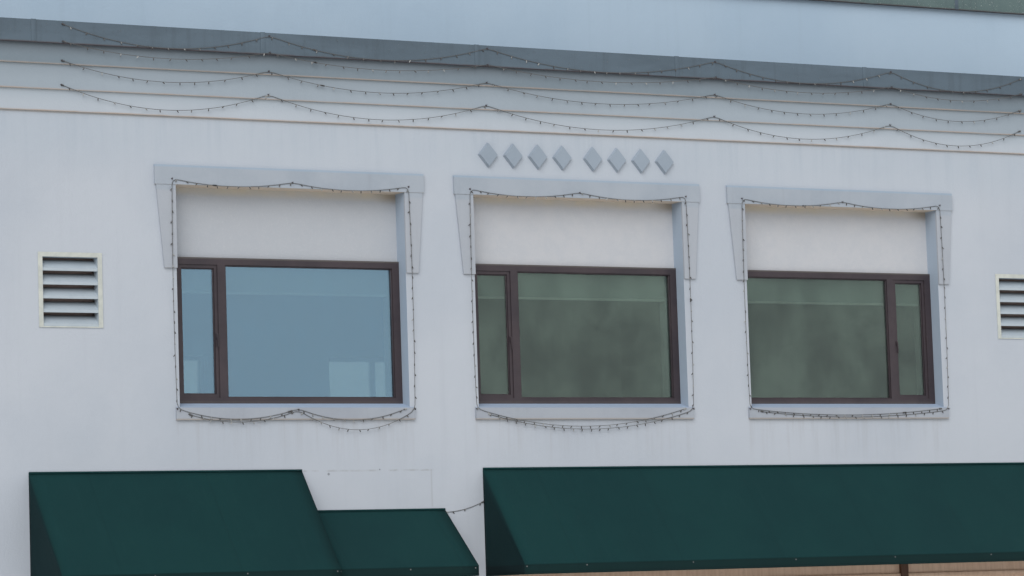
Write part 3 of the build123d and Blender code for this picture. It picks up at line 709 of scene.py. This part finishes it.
def awningCover(place):
    left, right, top, reach, ends, bays = awnings[place]
    s = awningShape
    columns = round((right - left) / s["column"])
    rows = s["slopeRows"] + s["valanceRows"]
    share = s["slopeRows"] / rows

    def slopeAt(out):
        return top - out * (top - s["bar"]) / reach

    def rounded(t):  # eases the fold over the front bar
        return min(1.0, t) ** 0.9

    def cover(u, v):
        x = left + u * (right - left)
        if v <= share:
            t = v / share
            out = reach * t
            sag = s["dip"] * math.sin(math.pi * t) * abs(math.sin(math.pi * bays * u))
            return (x, wallFace - out + 0.0005 * (t == 0), slopeAt(out) - sag)
        t = (v - share) / (1 - share)
        wave = s["ripple"] * t * math.sin(11 * x + 1.3) * math.sin(4.1 * x)
        return (x, wallFace - reach + 0.004 * t + wave * 0.6, s["bar"] - t * (s["bar"] - s["hem"]))

    def end(x, bulge):
        def at(u, v):
            out = reach * u
            height = slopeAt(out) - s["hem"]
            push = bulge * math.sin(math.pi * u) * math.sin(math.pi * v) * s["dip"]
            return (x + push, wallFace - out, s["hem"] + v * height)
        return at

    parts = [clothGrid(f"cover_{place}", columns, rows, cover)]
    for x, closed, bulge in ((left, ends[0], 1), (right, ends[1], -1)):
        if closed:
            parts.append(clothGrid(f"end_{place}", s["slopeRows"], s["valanceRows"], end(x, bulge)))
    made = piece(f"awning_cover_{place}", parts, "awning")
    clearSelection()
    made.select_set(True)
    bpy.context.view_layer.objects.active = made
    bpy.ops.object.mode_set(mode="EDIT")
    bpy.ops.mesh.select_all(action="SELECT")
    bpy.ops.mesh.remove_doubles(threshold=0.006)
    bpy.ops.mesh.normals_make_consistent(inside=False)
    bpy.ops.object.mode_set(mode="OBJECT")
    applied(made, "SOLIDIFY", thickness=s["thickness"], offset=-1.0)
    closed = sum(ends)
    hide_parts(f"awning_fabric_{place}")


for place in awnings:
    awningCover(place)
print("awnings covered")

# Awning trims: rivets through the front bar, and battens screwed to the wall
trims = {"rivetRadius": 0.007, "rivetLevel": 2.382, "screwScale": 0.45, "screwPitch": 0.6,
         "rivets": {"right": [-1.228, -0.531, 0.737, 2.005, 3.273, 4.541, 5.809],
                    "left": [-6.15, -5.26, -4.30, -3.34], "entrance": [-3.241, -2.47, -1.74]}}


def rivet():
    clearSelection()
    bpy.ops.mesh.primitive_cylinder_add(vertices=16, radius=trims["rivetRadius"], depth=0.006,
                                        rotation=(math.pi / 2, 0, 0))
    made = bpy.context.object
    bpy.ops.object.transform_apply()
    applied(made, "BEVEL", width=0.002, segments=3, angle_limit=math.radians(40))
    return made


def awningTrims():
    master = rivet()
    parts = []
    for place, places in trims["rivets"].items():
        reach = awnings[place][3]
        for x in places:
            parts.append(copyOf(master, (x, wallFace - reach - 0.002, trims["rivetLevel"])))
    bpy.data.objects.remove(master)
    piece("awning_rivets", parts, "tube")
    battens = []
    pitch = trims["screwPitch"]
    for left, right, top in [awning[:3] for awning in awnings.values()]:
        battens.append(bar((left + 0.002, wallFace - 0.016, top - 0.008),
                           (right - 0.002, wallFace - 0.0002, top + 0.010)))
        battens += [copyOf(battenScrew, (left + pitch / 2 + pitch * n, wallFace - 0.017, top + 0.001))
                    for n in range(round((right - left) / pitch))]
    piece("awning_battens", battens, "awning")


battenScrew = rivet()
battenScrew.data.transform(Matrix.Scale(trims["screwScale"], 4))
awningTrims()
bpy.data.objects.remove(battenScrew)
print("awning trims fixed")


# Lamps along each string, read from its own line, with a plug at both ends and a pair where two lengths join
lamps = {"rowPitch": 0.170, "garlandPitch": 0.113, "width": 0.011,
         "joints": {"lamp_string_low": [(-3.59, 7.3)], "lamp_string_middle": [(-3.01, 7.4)],
                    "lamp_string_eaves": [(-3.10, 7.5)], "lamp_string_top": [(-3.06, 7.6)],
                    "window_garland_left": [(-4.17, 6.27), (-3.44, 3.97)], "window_garland_centre": [(1.312, 5.20)],
                    "window_garland_right": [(2.83, 6.27), (4.05, 3.97)]}}


def lineOf(cord):
    plain = cord.data.copy()
    plain.bevel_depth = 0
    holder = bpy.data.objects.new("line", plain)
    bpy.context.collection.objects.link(holder)
    mesh = bpy.data.meshes.new_from_object(holder.evaluated_get(bpy.context.evaluated_depsgraph_get()))
    points = [vertex.co.copy() for vertex in mesh.vertices]
    bpy.data.objects.remove(holder)
    bpy.data.meshes.remove(mesh)
    return points


def lampMaster():  # a holder and a pointed bulb, hanging down
    clearSelection()
    bpy.ops.mesh.primitive_cylinder_add(vertices=8, radius=lamps["width"] / 2, depth=0.010, location=(0, 0, -0.007))
    made = bpy.context.object
    bpy.ops.object.mode_set(mode="EDIT")
    bpy.ops.mesh.select_mode(type="FACE")
    bpy.ops.mesh.select_all(action="DESELECT")
    bpy.ops.object.mode_set(mode="OBJECT")
    for face in made.data.polygons:
        face.select = face.normal.z < -0.9
    bpy.ops.object.mode_set(mode="EDIT")
    for depth, width in ((-0.001, 1.15), (-0.007, 0.95), (-0.006, 0.55), (-0.004, 0.3)):
        bpy.ops.mesh.extrude_region_move(TRANSFORM_OT_translate={"value": (0, 0, depth)})
        bpy.ops.transform.resize(value=(width, width, 1))
    bpy.ops.object.mode_set(mode="OBJECT")
    bpy.ops.object.transform_apply()
    return made


def plugMaster():
    clearSelection()
    bpy.ops.mesh.primitive_cylinder_add(vertices=12, radius=0.008, depth=0.034, location=(0, 0, 0))
    made = bpy.context.object
    bpy.ops.object.transform_apply()
    applied(made, "BEVEL", width=0.002, segments=2, angle_limit=math.radians(40))
    return made


lamp, plug = lampMaster(), plugMaster()
dice = random.Random(7)
for node, cord in cords.items():
    points = lineOf(cord)
    pitch = lamps["rowPitch"] if "string" in node else lamps["garlandPitch"]
    parts, run, due = [], 0.0, pitch / 2
    for before, here in zip(points, points[1:]):
        step = (here - before).length
        while due <= run + step:
            spot = before.lerp(here, (due - run) / step)
            parts.append(copyOf(lamp, spot, dice.uniform(-0.9, 0.9)))
            due += pitch * dice.uniform(0.9, 1.1)
        run += step
    for spot, other in ((points[0], points[1]), (points[-1], points[-2])):
        lean = math.atan2(other.x - spot.x, other.z - spot.z)
        parts.append(copyOf(plug, spot + (other - spot).normalized() * 0.012, lean))
    for jointX, jointZ in lamps["joints"].get(node, ()):
        n = min(range(1, len(points)), key=lambda n: abs(points[n].x - jointX) + 0.5 * abs(points[n].z - jointZ))
        lean = math.atan2(points[n].x - points[n - 1].x, points[n].z - points[n - 1].z)
        parts += [copyOf(plug, points[n].lerp(points[n - 1], part), lean) for part in (0.0, 0.3)]
    piece(node.replace("lamp_string", "lamps").replace("window_garland", "lamps_window"), parts,
                             "lamp")
    wear(cord, "wire")
    tuple(cord.data.splines[0].points[0].co[:3])
bpy.data.objects.remove(lamp)
bpy.data.objects.remove(plug)

# Hooks that carry the strings
hooks = {"ring": 0.012, "wire": 0.0022, "stand": 0.0135, "sillDrop": 0.008}


def hookMaster():
    clearSelection()
    bpy.ops.mesh.primitive_torus_add(major_segments=16, minor_segments=6, major_radius=hooks["ring"],
                                     minor_radius=hooks["wire"], rotation=(0, math.pi / 2, 0))
    made = bpy.context.object
    bpy.ops.object.transform_apply()
    bpy.ops.object.mode_set(mode="EDIT")
    bpy.ops.mesh.select_all(action="SELECT")
    bpy.ops.mesh.bisect(plane_co=(0, 0.0, 0.003), plane_no=(0, 0.55, 1), clear_outer=True, use_fill=True)
    bpy.ops.object.mode_set(mode="OBJECT")
    clearSelection()
    bpy.ops.mesh.primitive_cylinder_add(vertices=12, radius=0.008, depth=0.003, location=(0, hooks["ring"], 0),
                                        rotation=(math.pi / 2, 0, 0))
    plate = bpy.context.object
    bpy.ops.object.transform_apply()
    made.select_set(True)
    bpy.context.view_layer.objects.active = made
    bpy.ops.object.join()
    return made


hook = hookMaster()
parts = []
for level, sag, out in strings["rows"].values():
    parts += [copyOf(hook, (x, wallFace - out - hooks["stand"], level)) for x in strings["hooks"]]
half, head, foot = garlands["halfWidth"], garlands["level"], garlands["foot"]
y = wallFace - garlands["out"] - hooks["stand"]
for centre in windowCentres.values():
    for x, z in ((-half, head), (0, head), (half, head), (-half, foot), (half, foot)):
        parts.append(copyOf(hook, (centre + x, y, z)))
parts.append(copyOf(hook, (windowCentres["left"], y, foot - hooks["sillDrop"])))
bpy.data.objects.remove(hook)
piece("string_hooks", parts, "bronze")
print("hooks fixed")

# Coping details: lapped joints with a flat strap, and a folded drip edge
copings = {"strap": 0.050, "thickness": 0.004, "joints": [-6.1, -3.66, -1.22, 1.22, 3.66, 6.1], "drip": 0.006,
           "sideJoints": (-2.4, 0.6, 3.6), "side": 7.620, "frontInner": -5.571, "upperInner": (-4.171, 5.671, 7.291)}


def copingTrims():
    c = copings
    t, half, drip, side = c["thickness"], c["strap"] / 2, c["drip"], c["side"]
    front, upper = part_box("front_coping"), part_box("upper_coping")
    straps = []
    ahead, foot, top = front[0][1], front[0][2], front[1][2]
    for x in c["joints"]:
        straps.append(bar((x - half, ahead - t, foot - 0.001), (x + half, ahead, top + t), 0.001))
        straps.append(bar((x - half, ahead, top), (x + half, c["frontInner"], top + t), 0.001))
    ahead, behind, foot, top = upper[0][1], upper[1][1], upper[0][2], upper[1][2]
    frontInner, rearInner, sideInner = c["upperInner"]
    for x in c["joints"]:
        for y0, y1, face in ((ahead, frontInner, ahead), (rearInner, behind, behind)):
            straps.append(bar((x - half, y0, top), (x + half, y1, top + t), 0.001))
            straps.append(bar((x - half, face - t, foot - 0.001), (x + half, face + t, top + t), 0.001))
    for y in c["sideJoints"]:
        for x0, x1 in ((-side, -sideInner), (sideInner, side)):
            straps.append(bar((x0, y - half, top), (x1, y + half, top + t), 0.001))
    piece("coping_straps", straps, "coping")
    drips = [bar((-side, y0, z - drip), (side, y1, z), 0.001)
             for y0, y1, z in ((front[0][1] - 0.004, front[0][1] + 0.010, front[0][2]),
                               (ahead - 0.004, ahead + 0.010, foot), (behind - 0.010, behind + 0.004, foot))]
    piece("coping_drips", drips, "bronze")


copingTrims()
print("copings trimmed")

# Insect screens behind the louvre blades
screens = {"inset": 0.040, "thickness": 0.005}


def louvreScreens():
    parts = []
    for place in ("left", "right"):
        low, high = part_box(f"louvre_{place}")
        edge = screens["inset"]
        parts.append(bar((low[0] + edge, high[1] - 0.0002, low[2] + edge),
                         (high[0] - edge, high[1] + screens["thickness"], high[2] - edge), 0.001))
    piece("louvre_screens", parts, "screen")


louvreScreens()
print("louvres screened")

# Window fittings: glazing beads, a handle and hinges on each casement, and pale linings inside the openings
fittings = {"bead": 0.012, "setback": 0.155, "casement": (1.190, 0.765), "fixed": (0.680, 1.190), "sash": 0.034,
            "levels": (4.153, 5.488), "hinges": (4.30, 4.82, 5.34), "hands": {"left": -1, "centre": -1, "right": 1},
            "lining": (1.182, 1.266), "liningY": (0.2455, 0.140), "liningLevels": (4.0952, 5.5590)}


def windowFittings():
    beads, metal, linings = [], [], []
    low, high = fittings["levels"]
    bottom, top = fittings["liningLevels"]
    behind, deep = wallFace + fittings["liningY"][0], fittings["liningY"][1]
    front = wallFace + fittings["setback"]
    for place, centre in windowCentres.items():
        for side in (-1, 1):
            x0, x1 = sorted(centre + side * x for x in fittings["lining"])
            linings.append(bar((x0, behind, bottom), (x1, behind + deep, top), 0.003))
        hand = fittings["hands"][place]
        outer, meeting = fittings["casement"]
        casement = sorted((hand * outer, hand * meeting))
        fixed = sorted((hand * fittings["fixed"][0], -hand * fittings["fixed"][1]))
        for (left, right), inset, y in ((casement, fittings["sash"], front + 0.012), (fixed, 0.0, front)):
            beads += border((centre + left + inset, y + 0.012, low + inset),
                            (centre + right - inset, front + 0.034, high - inset), fittings["bead"], 0.002)
        handleX = centre + hand * (meeting + 0.017)
        metal += [bar((handleX - 0.009, front - 0.004, 4.74), (handleX + 0.009, front + 0.013, 4.80), 0.003),
                  bar((handleX - 0.006, front - 0.022, 4.66), (handleX + 0.006, front - 0.004, 4.79), 0.004)]
        hingeX = centre + hand * (outer + 0.006)
        metal += [bar((hingeX - 0.010, front - 0.005, z - 0.035), (hingeX + 0.010, front + 0.006, z + 0.035), 0.004)
                  for z in fittings["hinges"]]
    piece("glazing_beads", beads, "bronze")
    piece("casement_fittings", metal, "bronze")
    piece("window_linings", linings, "lining")


windowFittings()
print("windows fitted")

# Shop fronts: stall sills, moulded headers, panels under the sills, a threshold and kick plates
shops = {"bays": ((-6.050, -3.452), (-1.101, 6.050)), "stall": 0.600, "header": 2.140, "panel": 1.240, "margin": 0.06}


def shopTrims():
    sills, headers, panels = [], [], []
    stall, header, margin = shops["stall"], shops["header"], shops["margin"]
    face, back = wallFace - 0.0002, wallFace + 0.150
    for left, right in shops["bays"]:
        x0, x1 = left + 0.001, right - 0.001
        sills += [bar((left - 0.03, wallFace - 0.045, stall - 0.035), (right + 0.03, face, stall + 0.012), 0.008),
                  bar((x0, wallFace, stall), (x1, back, stall + 0.010), 0.003)]
        headers += [bar((x0, wallFace + 0.128, header + 0.030), (x1, back, header + 0.075), 0.008),
                    bar((x0, wallFace + 0.136, header + 0.46), (x1, back, header + 0.50), 0.005)]
        count = max(2, round((right - left) / shops["panel"]))
        pitch = (right - left) / count
        for n in range(count):
            panels += border((left + n * pitch + margin, wallFace - 0.014, 0.16),
                             (left + (n + 1) * pitch - margin, face, 0.51), 0.02, 0.004)
    piece("shop_sills", sills, "surround")
    piece("shop_headers", headers, "tan")
    piece("stall_mouldings", panels, "front")
    step = bar((-3.20, wallFace - 0.06, 0.118), (-1.80, back, 0.152), 0.006)
    kick = [bar((x0, wallFace + 0.146, 0.16), (x1, wallFace + 0.1498, 0.35), 0.001)
            for x0, x1 in ((-3.08, -2.51), (-2.49, -1.92))]
    piece("entrance_threshold", [step], "floor")
    piece("door_kick_plates", kick, "steel")


shopTrims()
print("shop fronts trimmed")

# Rear: sills and heads to the windows, panels, knob and hinges on the service door
rear = {"windows": [(x, 4.095, 5.560) for x in (-3.339, 0.0, 3.339)] + [(x, 1.100, 2.300) for x in (-3.339, 3.339)],
        "half": 0.75, "wall": 6.0002, "door": 5.9198, "panels": ((0.35, 1.00), (1.15, 2.05)), "panelHalf": 0.38,
        "hinges": (0.45, 1.20, 1.95)}


def rearTrims():
    stone, door, metal = [], [], []
    half, wall, face, wide = rear["half"], rear["wall"], rear["door"], rear["panelHalf"]
    for x, low, high in rear["windows"]:
        stone += [bar((x - half - 0.06, wall, low - 0.07), (x + half + 0.06, 6.045, low - 0.002), 0.010),
                  bar((x - half + 0.001, 5.921, low), (x + half - 0.001, 6.030, low + 0.012), 0.003),
                  bar((x - half - 0.10, wall, high + 0.002), (x + half + 0.10, 6.018, high + 0.15), 0.006)]
    for low, high in rear["panels"]:
        door += border((-wide, face, low), (wide, 5.935, high), 0.03, 0.006)
        door.append(bar((-wide + 0.06, face, low + 0.06), (wide - 0.06, 5.928, high - 0.06), 0.005))
    metal += [bar((-0.494, face, z - 0.05), (-0.470, 5.932, z + 0.05), 0.004) for z in rear["hinges"]]
    metal += [bar((0.415, face, 1.02), (0.465, 5.926, 1.20), 0.002),
              bar((0.425, 5.926, 1.09), (0.455, 5.985, 1.12), 0.010),
              bar((0.33, 5.965, 1.092), (0.455, 5.985, 1.118), 0.009)]
    piece("rear_stone_trims", stone, "surround")
    piece("rear_door_panels", door, "brown")
    piece("rear_door_metal", metal, "steel")


rearTrims()
print("rear trimmed")

# Roof flashings: folded strips where the membrane meets the parapets
roofs = {"areas": (((-7.32, -5.6), (7.32, -4.5), 7.300), ((-7.32, -4.2), (7.32, 5.7), 8.550)),
         "folds": ((0.0, 0.006, 0.15), (0.006, 0.09, 0.004))}


def roofFlashings():
    strips = []
    for (x0, y0), (x1, y1), level in roofs["areas"]:
        for inset, width, height in roofs["folds"]:
            for left, right, front, back in ((x0, x1, y0 + inset, y0 + width), (x0, x1, y1 - width, y1 - inset),
                                             (x0 + inset, x0 + width, y0 + width, y1 - width),
                                             (x1 - width, x1 - inset, y0 + width, y1 - width)):
                strips.append(bar((left, front, level), (right, back, level + height), 0.001))
    piece("roof_flashings", strips, "steel")


roofFlashings()
print("roofs flashed")

# Studio: pale floor, a soft sun from the left front, an even sky
studio = {"floor": (232, 232, 230), "sky": (0.62, 0.64, 0.66, 1), "backdrop": (0.90, 0.92, 0.94, 1),
          "skyStrength": 0.88, "sunPower": 1.9, "sunAngle": 50, "sunFrom": (-0.55, -0.75, 0.62)}


def makeStudio():
    bpy.ops.mesh.primitive_plane_add(size=160, location=(0, 0, -0.002))
    floor = bpy.context.object
    floor.name = "studio_floor"
    material, place = begin("studio_floor")
    complete(material, mix(smooth(noise(place, 0.3, 3), 0.3, 0.7), studio["floor"], (228, 228, 226)), 0.9)
    floor.data.materials.append(material)
    world = bpy.data.worlds.new("studio")
    bpy.context.scene.world = world
    world.use_nodes = True
    world.node_tree.nodes.clear()
    sky = Wire(world.node_tree)
    path = sky.node("ShaderNodeLightPath", output="Is Camera Ray")
    glossy = sky.node("ShaderNodeLightPath", output="Is Glossy Ray")
    through = sky.node("ShaderNodeLightPath", output="Is Transmission Ray")
    seen = path.maths("MAXIMUM", path.maths("MAXIMUM", path, glossy), through)
    lit = sky.node("ShaderNodeBackground", None, {"Color": studio["sky"], "Strength": studio["skyStrength"]})
    shown = sky.node("ShaderNodeBackground", None, {"Color": studio["backdrop"], "Strength": 1.0})
    both = sky.node("ShaderNodeMixShader", None, {0: seen, 1: lit, 2: shown})
    sky.node("ShaderNodeOutputWorld", None, {"Surface": both})
    sun = bpy.data.objects.new("sun", bpy.data.lights.new("sun", "SUN"))
    sun.data.energy = studio["sunPower"]
    sun.data.angle = math.radians(studio["sunAngle"])
    sun.rotation_euler = Vector(studio["sunFrom"]).to_track_quat("Z", "Y").to_euler()
    bpy.context.collection.objects.link(sun)
    bpy.context.scene.view_settings.view_transform = "Standard"


makeStudio()
print("studio lit")
